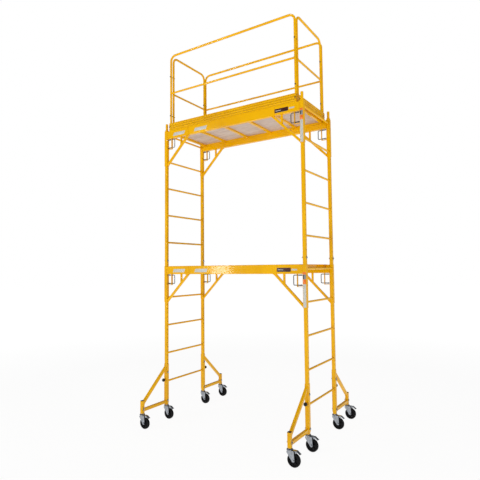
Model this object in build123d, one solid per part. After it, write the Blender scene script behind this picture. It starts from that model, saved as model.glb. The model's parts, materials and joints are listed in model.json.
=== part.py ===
from build123d import *
import os
from math import atan2, cos, degrees, pi, sin

# Two-tier rolling baker scaffold.  +X runs along the platforms, +Y is the rear, +Z is up, z = 0 is the floor.
# The frame's origin is on the floor under the middle of the whole object.

# ---------------------------------------------------------------- driving dimensions (mm)
POST_SPACING_X = 1850.0
POST_SPACING_Y = 716.0
POST_SIZE = 35.0
POST_WALL = 2.0
HOLE_PITCH = 50.8
HOLES_PER_TIER = 33
TIER = HOLE_PITCH * HOLES_PER_TIER
RUNGS = 5
RUNG_PITCH = TIER / RUNGS
FIRST_RUNG = 274.0
RUNG_R = 11.0
PIN_HOLE_R = 5.5
COUPLING_PIN = HOLE_PITCH

CASTER_HEIGHT = 162.0
WHEEL_R = 63.5
WHEEL_TRAIL = 40.0
AXLE_R = 6.4
CHEEK_IN = 20.0
CHEEK_THICK = 3.0
CROWN_LOW = 133.0
CROWN_HIGH = 137.0
LOWER_RACE_TOP = 147.0
UPPER_RACE_BOTTOM = 147.5
RACE_R = 31.0
RACE_RIM = 152.0
STEM_COLLAR = 158.0
STEM_COLLAR_R = 21.0
STEM_R = 14.75
STEM_TOP = 242.0
KINGPIN_R = 8.0
PEDAL_PIN_X = 41.0
PEDAL_PIN_Z = 141.0
PEDAL_PIN_R = 3.0
PEDAL_REACH = 110.0
PEDAL_WIDTH = 32.0

HITCH_R = 5.0
HITCH_HEAD_R = 11.0
HITCH_HEAD = 8.0
PIN_TIP = 14.0
CLIP_WIRE_R = 1.5
CLIP_HALF_HEIGHT = 20.0
CLIP_WIDTH = 10.0

COUPLER_R = 15.0
COUPLER_FREE = 80.0
COUPLER_HELD = 60.0

RIVET_R = 3.0
RIVET_Z = TIER - 30.0
RIVET_HEAD_R = 5.0
RIVET_HEAD = 0.4

SLEEVE_GAP = 0.5
SLEEVE_PLATE = 3.0
SLEEVE_HEIGHT = 436.0
RAIL_TOP = TIER - 17.0
LIP = 3.0
RAIL_HEIGHT = 95.0
RAIL_WIDTH = 40.0
KNEE_TOP_X = 582.0
KNEE_SIZE = 25.0
STRUT_X = 690.0
STRUT_SIZE = 20.0
STRAP_X = 590.0
STRAP_WIDTH = 46.0
STRAP_THICK = 3.0
STRAP_OVERHANG = 6.0

LOOP_ROD_R = 4.75
LOOP_UPPER_HOLE = 30.5 * HOLE_PITCH
LOOP_LOWER_HOLE = 28.5 * HOLE_PITCH
LOOP_TIP_X = 930.0
LOOP_BAR_X = 796.0
LOOP_BEND = 12.0
LOOP_HOLE_R = 5.25
COLLAR_X = 880.0
COLLAR_R = 8.0
COLLAR_THICK = 4.0
BRACKET_X = 839.0
BRACKET_THICK = 4.0
BRACKET_WIDTH = 25.0
BRACKET_DROP = 17.8
SPRING_INNER_R = 5.2
SPRING_OUTER_R = 7.2

DECK_HALF_LENGTH = 868.0
DECK_DEPTH = 38.0
DECK_PLATE = 3.0
END_FLANGE = 25.0
PLY_THICK = 12.0
CROSS_MEMBERS_X = (-514.0, -171.0, 171.0, 514.0)
CROSS_WIDTH = 28.0
CROSS_DEPTH = 20.0

TOE_HEIGHT = 94.0
TOE_OUTER_Y = 379.0
TOE_OUTER_X = 876.0
TOE_RIB = 4.0
TOE_SHEET = 2.0

GUARD_R = 12.7
GUARD_WALL = 2.0
GUARD_MID_R = 11.0
GUARD_BEND = 70.0
GUARD_TOP = 4453.0
GUARD_MID = 3977.0
GUARD_LEG_X = 857.0
GUARD_SIDE_Y = 356.0
GUARD_END_FRONT_Y = -310.0
GUARD_END_REAR_Y = 322.0
GUARD_BOLT_R = 4.0
GUARD_BOLT_HEX = 13.0
GUARD_BOLT_HEAD = 5.5
GUARD_NUT = 6.5
GUARD_BOLT_END = 8.0
GUARD_BOLT_HOLE_R = 4.4
CORNER_BOLTS_Z = (3690.0, 4190.0)
REAR_LEFT_BOLTS_Z = (3690.0, 4034.0)

OUTRIGGER_REACH = 400.0
OUTRIGGER_SLEEVE_LOW = 22.0
OUTRIGGER_SLEEVE_HIGH = 482.0
OUTRIGGER_BASE_SIZE = 32.0
OUTRIGGER_BASE_Z = 36.0
OUTRIGGER_BRACE_SIZE = 30.0
OUTRIGGER_BRACE_HIGH = 440.0
OUTRIGGER_BRACE_LOW = 118.0
OUTRIGGER_TUBE_HEIGHT = 138.0
OUTRIGGER_PIN = 7.5 * HOLE_PITCH
KNOB_Z = 296.0
KNOB_R = 19.0
KNOB_NEAR = 42.0
KNOB_LENGTH = 22.0
SCREW_R = 5.0
RUNNING_GAP = 0.05

# ---------------------------------------------------------------- places worked out from them
HALF_X = POST_SPACING_X / 2
HALF_Y = POST_SPACING_Y / 2
HALF_POST = POST_SIZE / 2
SLEEVE_IN = HALF_POST + SLEEVE_GAP
SLEEVE_OUT = SLEEVE_IN + SLEEVE_PLATE
POST_FACE_Y = HALF_Y - HALF_POST
RAIL_END_X = HALF_X - SLEEVE_OUT
RAIL_BODY_TOP = RAIL_TOP - LIP
RAIL_BOTTOM = RAIL_BODY_TOP - RAIL_HEIGHT
RAIL_OUTER_Y = HALF_Y + RAIL_WIDTH / 2
RAIL_INNER_Y = HALF_Y - RAIL_WIDTH / 2
BASE = CASTER_HEIGHT
UPPER = BASE + TIER
DECK_TOP = UPPER + RAIL_TOP
TOE_BOLT_Z = DECK_TOP + TOE_HEIGHT / 2
OUTER_Y = HALF_Y + OUTRIGGER_REACH
# Every caster trails towards +X, so the tower stands this far to the -X side of the middle of the whole.
# The hitch pins' tips reach furthest to -X and the brake pedals' toes furthest to +X.
MIDDLE_X = (PEDAL_REACH - SLEEVE_OUT - PIN_TIP) / 2
CENTRE = Location((-MIDDLE_X, 0, 0))

SIDES_X = {"left": -1, "right": 1}
SIDES_Y = {"front": -1, "rear": 1}
TIERS = {"lower": BASE, "upper": UPPER}


# ---------------------------------------------------------------- small helpers
def bar(x0, x1, y0, y1, z0, z1):
    """A solid block between two corners, given in any order."""
    low = (min(x0, x1), min(y0, y1), min(z0, z1))
    size = (abs(x1 - x0), abs(y1 - y0), abs(z1 - z0))
    return Pos(*low) * Box(*size, align=(Align.MIN, Align.MIN, Align.MIN))


def rod_x(radius, x0, x1, y, z):
    """A round rod along X."""
    return Pos((x0 + x1) / 2, y, z) * Rot(0, 90, 0) * Cylinder(radius, abs(x1 - x0))


def rod_y(radius, y0, y1, x, z):
    """A round rod along Y."""
    return Pos(x, (y0 + y1) / 2, z) * Rot(90, 0, 0) * Cylinder(radius, abs(y1 - y0))


def rod_z(radius, z0, z1, x, y):
    """A round rod along Z."""
    return Pos(x, y, (z0 + z1) / 2) * Cylinder(radius, abs(z1 - z0))


def square_tube(size, wall, length, corner=2.5):
    """A square tube standing on z = 0."""
    outer = RectangleRounded(size, size, corner)
    inner = RectangleRounded(size - 2 * wall, size - 2 * wall, max(corner - wall, 0.6))
    return extrude(outer - inner, length)


def hexagon_y(across, y0, y1, x, z):
    """A hexagonal bolt head or nut whose axis is along Y."""
    blank = extrude(RegularPolygon(across / 2, 6, major_radius=False), abs(y1 - y0))
    return Pos(x, max(y0, y1), z) * Rot(90, 0, 0) * blank


def hexagon_x(across, x0, x1, y, z):
    """A hexagonal bolt head or nut whose axis is along X."""
    blank = extrude(RegularPolygon(across / 2, 6, major_radius=False), abs(x1 - x0))
    return Pos(min(x0, x1), y, z) * Rot(0, 90, 0) * blank


def write(name, solids):
    """Writes one node as a group of separate solids, moved into the frame."""
    flat = []
    for item in solids:
        flat += list(item.solids())
    moved = [CENTRE * solid for solid in flat]
    node = moved[0] if len(moved) == 1 else Compound(children=moved)
    export_step(node, "parts/" + name + ".step")


# ---------------------------------------------------------------- end frames
def make_post():
    """A square post standing on z = 0 with its row of pin holes and its coupling and rivet holes."""
    post = square_tube(POST_SIZE, POST_WALL, TIER, 3.0)
    heights = [(k + 0.5) * HOLE_PITCH for k in range(2, HOLES_PER_TIER - 1)]
    heights.append(COUPLING_PIN)
    drills = [rod_x(PIN_HOLE_R, -POST_SIZE, POST_SIZE, 0, z) for z in heights]
    drills.append(rod_x(RIVET_R, -POST_SIZE, POST_SIZE, 0, RIVET_Z))
    return post - drills


def make_coupler():
    """The round stacking pin in a post's top, which the next tier's post slides over."""
    free = Cylinder(COUPLER_R, COUPLER_FREE, align=(Align.CENTER, Align.CENTER, Align.MIN))
    free = chamfer(free.edges().sort_by(Axis.Z)[-1], 2.0)
    held_r = POST_SIZE / 2 - POST_WALL - 0.1
    held = Cylinder(held_r, COUPLER_HELD, align=(Align.CENTER, Align.CENTER, Align.MAX))
    coupler = free + held
    coupler -= rod_z(COUPLER_R - 3.0, -COUPLER_HELD, COUPLER_FREE, 0, 0)
    coupler -= rod_x(PIN_HOLE_R, -POST_SIZE, POST_SIZE, 0, COUPLING_PIN)
    coupler -= rod_x(RIVET_R, -POST_SIZE, POST_SIZE, 0, RIVET_Z - TIER)
    rivet = rod_x(RIVET_R, -HALF_POST, HALF_POST, 0, RIVET_Z - TIER)
    rivet += rod_x(RIVET_HEAD_R, -HALF_POST - RIVET_HEAD, -HALF_POST, 0, RIVET_Z - TIER)
    rivet += rod_x(RIVET_HEAD_R, HALF_POST, HALF_POST + RIVET_HEAD, 0, RIVET_Z - TIER)
    return [Pos(0, 0, TIER) * coupler, Pos(0, 0, TIER) * rivet]


def make_rung():
    """A tubular rung between the two posts, centred on the origin."""
    tube = rod_y(RUNG_R, -POST_FACE_Y, POST_FACE_Y, 0, 0)
    return tube - rod_y(RUNG_R - 2.0, -POST_FACE_Y, POST_FACE_Y, 0, 0)


def write_frames():
    post = make_post()
    coupler = make_coupler()
    rung = make_rung()
    for tier, z in TIERS.items():
        for side, sx in SIDES_X.items():
            solids = []
            for sy in SIDES_Y.values():
                place = Pos(sx * HALF_X, sy * HALF_Y, z)
                solids += [place * piece for piece in [post] + coupler]
            for k in range(RUNGS):
                solids.append(Pos(sx * HALF_X, 0, z + FIRST_RUNG + k * RUNG_PITCH) * rung)
            write(tier + "_" + side + "_end_frame", solids)


# ---------------------------------------------------------------- side rails
def make_sleeve(low, high):
    """The U channel that slides on a front right post: a web on its -Y face and a flange on each X face."""
    blank = bar(-SLEEVE_OUT, SLEEVE_OUT, -SLEEVE_OUT, HALF_POST, low, high)
    bends = [e for e in blank.edges().filter_by(Axis.Z) if e.center().Y < 0]
    blank = fillet(bends, 3.5)
    blank -= bar(-SLEEVE_IN, SLEEVE_IN, -SLEEVE_IN, HALF_POST + 1, low, high)
    return blank


def make_rail_half():
    """What hangs at the +X end of a front side rail: sleeve, knee brace, strut, strap and lock bracket."""
    sleeve = make_sleeve(RAIL_TOP - SLEEVE_HEIGHT, RAIL_TOP)
    for z in (LOOP_UPPER_HOLE, LOOP_LOWER_HOLE):
        sleeve -= rod_x(PIN_HOLE_R, -POST_SIZE, POST_SIZE, 0, z)
    sleeve = Pos(HALF_X, -HALF_Y, 0) * sleeve

    run = RAIL_END_X - KNEE_TOP_X
    knee_low = RAIL_BOTTOM - run
    length = 2 * run
    blank = Pos(0, 0, -length / 2) * square_tube(KNEE_SIZE, 2.0, length)
    middle = Pos((KNEE_TOP_X + RAIL_END_X) / 2, -HALF_Y, (RAIL_BOTTOM + knee_low) / 2)
    room = bar(0, RAIL_END_X, -HALF_Y - 50, -HALF_Y + 50, 0, RAIL_BOTTOM)
    knee = middle * Rot(0, -45, 0) * blank & room
    knee_core = middle * Rot(0, -45, 0) * Box(KNEE_SIZE, KNEE_SIZE, length)

    strut_foot = RAIL_BOTTOM - (STRUT_X - KNEE_TOP_X)
    strut = Pos(STRUT_X, -HALF_Y, strut_foot) * square_tube(STRUT_SIZE, 1.5, RAIL_BOTTOM - strut_foot, 2.0)
    strut -= knee_core
    strut = strut.solids().sort_by(Axis.Z)[-1]

    strap = bar(STRAP_X - STRAP_WIDTH / 2, STRAP_X + STRAP_WIDTH / 2,
                -RAIL_OUTER_Y - STRAP_THICK, -RAIL_OUTER_Y, RAIL_BOTTOM - STRAP_OVERHANG, RAIL_BODY_TOP)

    foot_z = LOOP_LOWER_HOLE - BRACKET_DROP
    half = BRACKET_WIDTH / 2
    bracket = bar(BRACKET_X - BRACKET_THICK / 2, BRACKET_X + BRACKET_THICK / 2,
                  -HALF_Y - half, -HALF_Y + half, foot_z, RAIL_BOTTOM)
    bracket += bar(BRACKET_X - BRACKET_THICK / 2, RAIL_END_X,
                   -HALF_Y - half, -HALF_Y + half, foot_z, foot_z + BRACKET_THICK)
    for z in (LOOP_UPPER_HOLE, LOOP_LOWER_HOLE):
        bracket -= rod_x(LOOP_HOLE_R, BRACKET_X - 10, BRACKET_X + 10, -HALF_Y, z)
    return [sleeve, knee, strut, strap, bracket]


def make_rail():
    """A whole front side rail for a tier whose posts stand on z = 0."""
    outer = RectangleRounded(RAIL_WIDTH, RAIL_HEIGHT, 4.0)
    inner = RectangleRounded(RAIL_WIDTH - 4.0, RAIL_HEIGHT - 4.0, 2.0)
    tube = extrude(Plane.YZ * (outer - inner), RAIL_END_X, both=True)
    tube = Pos(0, -HALF_Y, (RAIL_BODY_TOP + RAIL_BOTTOM) / 2) * tube
    right = make_rail_half()
    return [tube] + right + [mirror(piece, about=Plane.YZ) for piece in right]


def write_rails():
    front = make_rail()
    rear = [mirror(piece, about=Plane.XZ) for piece in front]
    for tier, z in TIERS.items():
        write(tier + "_front_side_rail", [Pos(0, 0, z) * piece for piece in front])
        write(tier + "_rear_side_rail", [Pos(0, 0, z) * piece for piece in rear])


# ---------------------------------------------------------------- spring-loaded lock loops
def make_loop():
    """The bent rod at the +X end of the front rail, with a spring collar on each prong."""
    route = FilletPolyline(
        (LOOP_TIP_X, -HALF_Y, LOOP_UPPER_HOLE),
        (LOOP_BAR_X, -HALF_Y, LOOP_UPPER_HOLE),
        (LOOP_BAR_X, -HALF_Y, LOOP_LOWER_HOLE),
        (LOOP_TIP_X, -HALF_Y, LOOP_LOWER_HOLE),
        radius=LOOP_BEND,
    )
    section = Plane((LOOP_TIP_X, -HALF_Y, LOOP_UPPER_HOLE), z_dir=(-1, 0, 0)) * Circle(LOOP_ROD_R)
    loop = sweep(section, path=route)
    for z in (LOOP_UPPER_HOLE, LOOP_LOWER_HOLE):
        loop += rod_x(COLLAR_R, COLLAR_X, COLLAR_X + COLLAR_THICK, -HALF_Y, z)
    return loop


def make_springs():
    """The sleeves of space that the two coil springs of a loop fill between bracket and collar."""
    x0 = BRACKET_X + BRACKET_THICK / 2
    springs = []
    for z in (LOOP_UPPER_HOLE, LOOP_LOWER_HOLE):
        spring = rod_x(SPRING_OUTER_R, x0, COLLAR_X, -HALF_Y, z)
        springs.append(spring - rod_x(SPRING_INNER_R, x0, COLLAR_X, -HALF_Y, z))
    return springs


def write_loops():
    right = make_loop()
    left = mirror(right, about=Plane.YZ)
    loops = {"right": right, "left": left}
    springs_right = make_springs()
    springs = springs_right + [mirror(piece, about=Plane.YZ) for piece in springs_right]
    all_springs = []
    for tier, z in TIERS.items():
        for face, sy in SIDES_Y.items():
            for side, loop in loops.items():
                piece = loop if sy < 0 else mirror(loop, about=Plane.XZ)
                write("_".join((tier, face, side, "lock_pin")), [Pos(0, 0, z) * piece])
            for spring in springs:
                piece = spring if sy < 0 else mirror(spring, about=Plane.XZ)
                all_springs.append(Pos(0, 0, z) * piece)
    write("lock_pin_springs", all_springs)


# ---------------------------------------------------------------- decks
def make_deck_frame():
    """The steel tray of a platform, hung by its side lips on the rails; z = 0 is the walking surface."""
    leg_y = RAIL_INNER_Y - 1.0
    web_x = DECK_HALF_LENGTH - END_FLANGE
    pieces = []
    for sy in (-1, 1):
        side = bar(-DECK_HALF_LENGTH, DECK_HALF_LENGTH, sy * leg_y, sy * (RAIL_OUTER_Y - 2), -LIP, 0)
        side += bar(-web_x, web_x, sy * (leg_y - DECK_PLATE), sy * leg_y, -DECK_DEPTH, 0)
        pieces.append(side)
    inner_y = leg_y - DECK_PLATE
    for sx in (-1, 1):
        x0 = sx * web_x
        x1 = sx * DECK_HALF_LENGTH
        end = bar(x0, sx * (web_x + DECK_PLATE), -leg_y, leg_y, -DECK_DEPTH, 0)
        end += bar(x0, x1, -leg_y, leg_y, -DECK_PLATE, 0)
        end += bar(x0, x1, -leg_y, leg_y, -DECK_DEPTH, -DECK_DEPTH + DECK_PLATE)
        pieces.append(end)
    half = CROSS_WIDTH / 2
    for x in CROSS_MEMBERS_X:
        tube = bar(x - half, x + half, -inner_y, inner_y, -PLY_THICK - CROSS_DEPTH, -PLY_THICK)
        low = -PLY_THICK - CROSS_DEPTH + 2
        tube -= bar(x - half + 2, x + half - 2, -inner_y, inner_y, low, -PLY_THICK - 2)
        pieces.append(tube)
    return pieces


def make_plywood():
    half_x = DECK_HALF_LENGTH - END_FLANGE
    half_y = RAIL_INNER_Y - 1.0 - DECK_PLATE
    return bar(-half_x, half_x, -half_y, half_y, -PLY_THICK, 0)


def write_decks():
    frame = make_deck_frame()
    plywood = make_plywood()
    for tier, z in TIERS.items():
        write(tier + "_deck_frame", [Pos(0, 0, z + RAIL_TOP) * piece for piece in frame])
        write(tier + "_deck_board", [Pos(0, 0, z + RAIL_TOP) * plywood])


# ---------------------------------------------------------------- toe boards
def toe_profile():
    """The ribbed sheet seen end on: its outer face is at u = 0, its inner side at negative u."""
    band = TOE_HEIGHT / 7
    points = [(-TOE_RIB, 0.0)]
    for k in range(3):
        low = band * (2 * k + 1)
        points += [(-TOE_RIB, low - 2), (0.0, low + 2), (0.0, low + band - 2), (-TOE_RIB, low + band + 2)]
    points.append((-TOE_RIB, TOE_HEIGHT))
    back = [(u - TOE_SHEET, v) for u, v in reversed(points)]
    return make_face(Polyline(*(points + back), close=True))


def write_toe_boards():
    profile = toe_profile()
    side = extrude(Plane((0, 0, 0), x_dir=(0, 1, 0), z_dir=(1, 0, 0)) * profile, DECK_HALF_LENGTH, both=True)
    rear = Pos(0, TOE_OUTER_Y, DECK_TOP) * side
    half = TOE_OUTER_Y - TOE_RIB - TOE_SHEET
    end = extrude(Plane((0, 0, 0), x_dir=(1, 0, 0), z_dir=(0, -1, 0)) * profile, half, both=True)
    right = Pos(TOE_OUTER_X, 0, DECK_TOP) * end
    boards = [rear, mirror(rear, about=Plane.XZ), right, mirror(right, about=Plane.YZ)]
    boards = [board - toe_bolt_holes() for board in boards]
    write("toe_boards", boards)


def toe_bolt_holes():
    """Clearance holes for the bolts that hold each guardrail leg to its toe board."""
    holes = []
    for sx in (-1, 1):
        for sy in (-1, 1):
            y0 = sy * (GUARD_SIDE_Y - 30)
            y1 = sy * (TOE_OUTER_Y + 10)
            holes.append(rod_y(GUARD_BOLT_HOLE_R, y0, y1, sx * GUARD_LEG_X, TOE_BOLT_Z))
        x0 = sx * (GUARD_LEG_X - 30)
        x1 = sx * (TOE_OUTER_X + 10)
        for y in (GUARD_END_FRONT_Y, GUARD_END_REAR_Y):
            holes.append(rod_x(GUARD_BOLT_HOLE_R, x0, x1, y, TOE_BOLT_Z))
    return holes


# ---------------------------------------------------------------- guardrails
def corner_bolt_holes():
    """Clearance holes for the bolts along Y that join two neighbouring legs at each corner."""
    holes = []
    for sx in (-1, 1):
        for sy in (-1, 1):
            heights = REAR_LEFT_BOLTS_Z if (sx, sy) == (-1, 1) else CORNER_BOLTS_Z
            for z in heights:
                holes.append(rod_y(GUARD_BOLT_HOLE_R, sy * 280, sy * 400, sx * GUARD_LEG_X, z))
    return holes


def make_guard_panel(corner_a, corner_b, along):
    """An inverted U of tube from one foot (x, y) to the other, and its coped middle rail."""
    (xa, ya), (xb, yb) = corner_a, corner_b
    route = FilletPolyline((xa, ya, DECK_TOP), (xa, ya, GUARD_TOP), (xb, yb, GUARD_TOP), (xb, yb, DECK_TOP),
                           radius=GUARD_BEND)
    foot = Plane((xa, ya, DECK_TOP), z_dir=(0, 0, 1))
    ring = Circle(GUARD_R) - Circle(GUARD_R - GUARD_WALL)
    tube = sweep(foot * ring, path=route)
    if along == "x":
        mid = rod_x(GUARD_MID_R, xa, xb, ya, GUARD_MID) - rod_x(GUARD_MID_R - 2, xa, xb, ya, GUARD_MID)
    else:
        mid = rod_y(GUARD_MID_R, ya, yb, xa, GUARD_MID) - rod_y(GUARD_MID_R - 2, ya, yb, xa, GUARD_MID)
    legs = [rod_z(GUARD_R, GUARD_MID - 60, GUARD_MID + 60, x, y) for x, y in (corner_a, corner_b)]
    mid -= legs
    tube -= corner_bolt_holes() + toe_bolt_holes()
    return [tube, mid.solids().sort_by(SortBy.VOLUME)[-1]]


def write_guardrails():
    x = GUARD_LEG_X
    for face, sy in SIDES_Y.items():
        y = sy * GUARD_SIDE_Y
        write(face + "_guardrail", make_guard_panel((-x, y), (x, y), "x"))
    for side, sx in SIDES_X.items():
        front = (sx * x, GUARD_END_FRONT_Y)
        rear = (sx * x, GUARD_END_REAR_Y)
        write(side + "_end_guardrail", make_guard_panel(front, rear, "y"))


def make_bolt_y(x, z, y_head, y_nut):
    """A hex bolt along Y, its head beyond y_head and its nut beyond y_nut."""
    out = 1 if y_head > y_nut else -1
    bolt = rod_y(GUARD_BOLT_R, y_head, y_nut - out * GUARD_BOLT_END, x, z)
    bolt += hexagon_y(GUARD_BOLT_HEX, y_head, y_head + out * GUARD_BOLT_HEAD, x, z)
    y_far = y_nut - out * GUARD_NUT
    nut = hexagon_y(GUARD_BOLT_HEX, y_nut, y_far, x, z) - rod_y(GUARD_BOLT_R, y_nut, y_far, x, z)
    return [bolt, nut]


def make_bolt_x(y, z, x_head, x_nut):
    """A hex bolt along X, its head beyond x_head and its nut beyond x_nut."""
    out = 1 if x_head > x_nut else -1
    bolt = rod_x(GUARD_BOLT_R, x_head, x_nut - out * GUARD_BOLT_END, y, z)
    bolt += hexagon_x(GUARD_BOLT_HEX, x_head, x_head + out * GUARD_BOLT_HEAD, y, z)
    x_far = x_nut - out * GUARD_NUT
    nut = hexagon_x(GUARD_BOLT_HEX, x_nut, x_far, y, z) - rod_x(GUARD_BOLT_R, x_nut, x_far, y, z)
    return [bolt, nut]


def write_guard_bolts():
    solids = []
    for sx in (-1, 1):
        x = sx * GUARD_LEG_X
        for sy in (-1, 1):
            heights = REAR_LEFT_BOLTS_Z if (sx, sy) == (-1, 1) else CORNER_BOLTS_Z
            inner_leg = GUARD_END_FRONT_Y if sy < 0 else GUARD_END_REAR_Y
            for z in heights:
                solids += make_bolt_y(x, z, sy * (GUARD_SIDE_Y + GUARD_R), inner_leg - sy * GUARD_R)
            solids += make_bolt_y(x, TOE_BOLT_Z, sy * TOE_OUTER_Y, sy * (GUARD_SIDE_Y - GUARD_R))
        for y in (GUARD_END_FRONT_Y, GUARD_END_REAR_Y):
            solids += make_bolt_x(y, TOE_BOLT_Z, sx * TOE_OUTER_X, sx * (GUARD_LEG_X - GUARD_R))
    write("guardrail_bolts", solids)


# ---------------------------------------------------------------- outriggers
def make_outrigger():
    """The front right outrigger, its post's foot at z = 0 and the post's centre on the Z axis."""
    sleeve = make_sleeve(OUTRIGGER_SLEEVE_LOW, OUTRIGGER_SLEEVE_HIGH)
    for z in (COUPLING_PIN, OUTRIGGER_PIN):
        sleeve -= rod_x(PIN_HOLE_R, -POST_SIZE, POST_SIZE, 0, z)
    nut_far = SLEEVE_OUT + 10.0
    bore = rod_y(SCREW_R + RUNNING_GAP, -POST_SIZE * 2, -SLEEVE_IN + 1, 0, KNOB_Z)
    sleeve -= bore
    weld_nut = hexagon_y(18.0, -nut_far, -SLEEVE_OUT, 0, KNOB_Z) - bore

    tube_near = OUTRIGGER_REACH - HALF_POST
    tube = Pos(0, -OUTRIGGER_REACH, 0) * square_tube(POST_SIZE, POST_WALL, OUTRIGGER_TUBE_HEIGHT, 3.0)
    tube -= rod_x(PIN_HOLE_R, -POST_SIZE, POST_SIZE, -OUTRIGGER_REACH, COUPLING_PIN)

    base_length = tube_near - SLEEVE_OUT
    base = square_tube(OUTRIGGER_BASE_SIZE, 2.0, base_length)
    base = Pos(0, -SLEEVE_OUT, OUTRIGGER_BASE_Z) * Rot(90, 0, 0) * base

    rise = OUTRIGGER_BRACE_HIGH - OUTRIGGER_BRACE_LOW
    lean = degrees(atan2(base_length, rise))
    length = 2 * base_length
    brace = Pos(0, 0, -length / 2) * square_tube(OUTRIGGER_BRACE_SIZE, 2.0, length)
    middle = Pos(0, -(SLEEVE_OUT + tube_near) / 2, (OUTRIGGER_BRACE_HIGH + OUTRIGGER_BRACE_LOW) / 2)
    room = bar(-50, 50, -tube_near, -SLEEVE_OUT, 0, OUTRIGGER_SLEEVE_HIGH)
    brace = middle * Rot(-lean, 0, 0) * brace & room
    return [sleeve, weld_nut, tube, base, brace]


def make_tube_cap():
    """The plastic plug in an outrigger tube's top."""
    plate = extrude(RectangleRounded(POST_SIZE, POST_SIZE, 3.0), 3.0)
    inside = POST_SIZE - 2 * POST_WALL - 0.4
    plug = extrude(RectangleRounded(inside, inside, 1.0), -14.0)
    return Pos(0, -OUTRIGGER_REACH, OUTRIGGER_TUBE_HEIGHT) * (plate + plug)


def make_knob():
    """The fluted hand screw that clamps an outrigger to its post."""
    face = Circle(KNOB_R)
    for k in range(8):
        angle = 2 * pi * k / 8
        face -= Pos((KNOB_R + 3.0) * cos(angle), (KNOB_R + 3.0) * sin(angle)) * Circle(4.5)
    head = extrude(face, KNOB_LENGTH)
    head = chamfer(head.edges().group_by(Axis.Z)[-1], 1.2)
    head = Pos(0, -KNOB_NEAR, KNOB_Z) * Rot(90, 0, 0) * head
    screw = rod_y(SCREW_R, -KNOB_NEAR, -SLEEVE_IN - 0.3, 0, KNOB_Z)
    return head + screw


def write_outriggers():
    outrigger = make_outrigger()
    cap = make_tube_cap()
    knob = make_knob()
    caps = []
    for face, sy in SIDES_Y.items():
        solids = []
        for side, sx in SIDES_X.items():
            place = Pos(sx * HALF_X, sy * HALF_Y, BASE)
            turn = Rot(0, 0, 0) if sy < 0 else Rot(0, 0, 180)
            solids += [place * turn * piece for piece in outrigger]
            caps.append(place * turn * cap)
            write("_".join((face, side, "outrigger_knob")), [place * turn * knob])
        write(face + "_outriggers", solids)
    write("outrigger_tube_caps", caps)


# ---------------------------------------------------------------- hitch pins
def make_hitch_pin(grip):
    """A headed pin along X through something of half-width grip; head towards +X, wire clip at the -X tip."""
    tip = -grip - PIN_TIP
    clip_x = -grip - PIN_TIP / 2
    pin = rod_x(HITCH_R, tip, grip, 0, 0)
    head = rod_x(HITCH_HEAD_R, grip, grip + HITCH_HEAD, 0, 0)
    head = chamfer(head.edges().group_by(Axis.X)[-1], 2.0)
    pin += head
    pin -= rod_z(CLIP_WIRE_R + 0.2, -10, 10, clip_x, 0)
    bend = CLIP_WIDTH / 2
    straight = CLIP_HALF_HEIGHT - bend
    loop = SlotOverall(2 * CLIP_HALF_HEIGHT, CLIP_WIDTH)
    route = Plane((clip_x, bend, 0), x_dir=(0, 0, 1), z_dir=(1, 0, 0)) * loop
    start = Plane((clip_x, 0, straight), z_dir=(0, 0, 1))
    clip = sweep(start * Circle(CLIP_WIRE_R), path=route.wire())
    return [pin, clip]


def write_hitch_pins():
    solids = []
    flip = Rot(0, 0, 180)
    plain = make_hitch_pin(HALF_POST)
    sleeved = make_hitch_pin(SLEEVE_OUT)
    for sx in (-1, 1):
        for sy in (-1, 1):
            turn = Rot(0, 0, 0) if sy < 0 else flip
            x, y = sx * HALF_X, sy * HALF_Y
            for z in (COUPLING_PIN, OUTRIGGER_PIN):
                solids += [Pos(x, y, BASE + z) * turn * piece for piece in sleeved]
            solids += [Pos(x, y, UPPER + COUPLING_PIN) * turn * piece for piece in plain]
            outer = Pos(x, sy * OUTER_Y, BASE + COUPLING_PIN)
            turn = flip if sy < 0 else Rot(0, 0, 0)
            solids += [outer * turn * piece for piece in plain]
    write("hitch_pins", solids)


# ---------------------------------------------------------------- casters
def ring_profile(points):
    """A closed outline of (radius, height) points in the XZ plane."""
    return make_face(Polyline(*[(r, 0, z) for r, z in points], close=True))


def make_stem():
    """The fixed part of a caster on the Z axis: the stem in its tube, upper race and kingpin."""
    head_r = KINGPIN_R + 4.0
    head_top = CROWN_LOW - 0.5
    outline = [(0, head_top - 5.5), (head_r - 2, head_top - 5.5), (head_r, head_top - 3.5),
               (head_r, head_top), (KINGPIN_R, head_top), (KINGPIN_R, UPPER_RACE_BOTTOM), (RACE_R, UPPER_RACE_BOTTOM),
               (RACE_R, RACE_RIM), (RACE_R - 5, STEM_COLLAR), (STEM_COLLAR_R, STEM_COLLAR),
               (STEM_COLLAR_R, CASTER_HEIGHT), (STEM_R, CASTER_HEIGHT), (STEM_R, STEM_TOP - 2),
               (STEM_R - 2, STEM_TOP), (0, STEM_TOP)]
    stem = revolve(ring_profile(outline), Axis.Z)
    return stem - rod_x(PIN_HOLE_R, -30, 30, 0, CASTER_HEIGHT + COUPLING_PIN)


def cheek_outline():
    """One fork cheek from the side: crown edge, pedal ear and axle boss joined by straight flanks."""
    crown = Polyline((-24, CROWN_HIGH), (-24, CROWN_LOW - 6), (30, CROWN_HIGH))
    ear = Pos(PEDAL_PIN_X, PEDAL_PIN_Z) * Circle(7.5)
    boss = Pos(WHEEL_TRAIL, WHEEL_R) * Circle(14.0)
    return make_hull(crown.edges() + ear.edges() + boss.edges())


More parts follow.
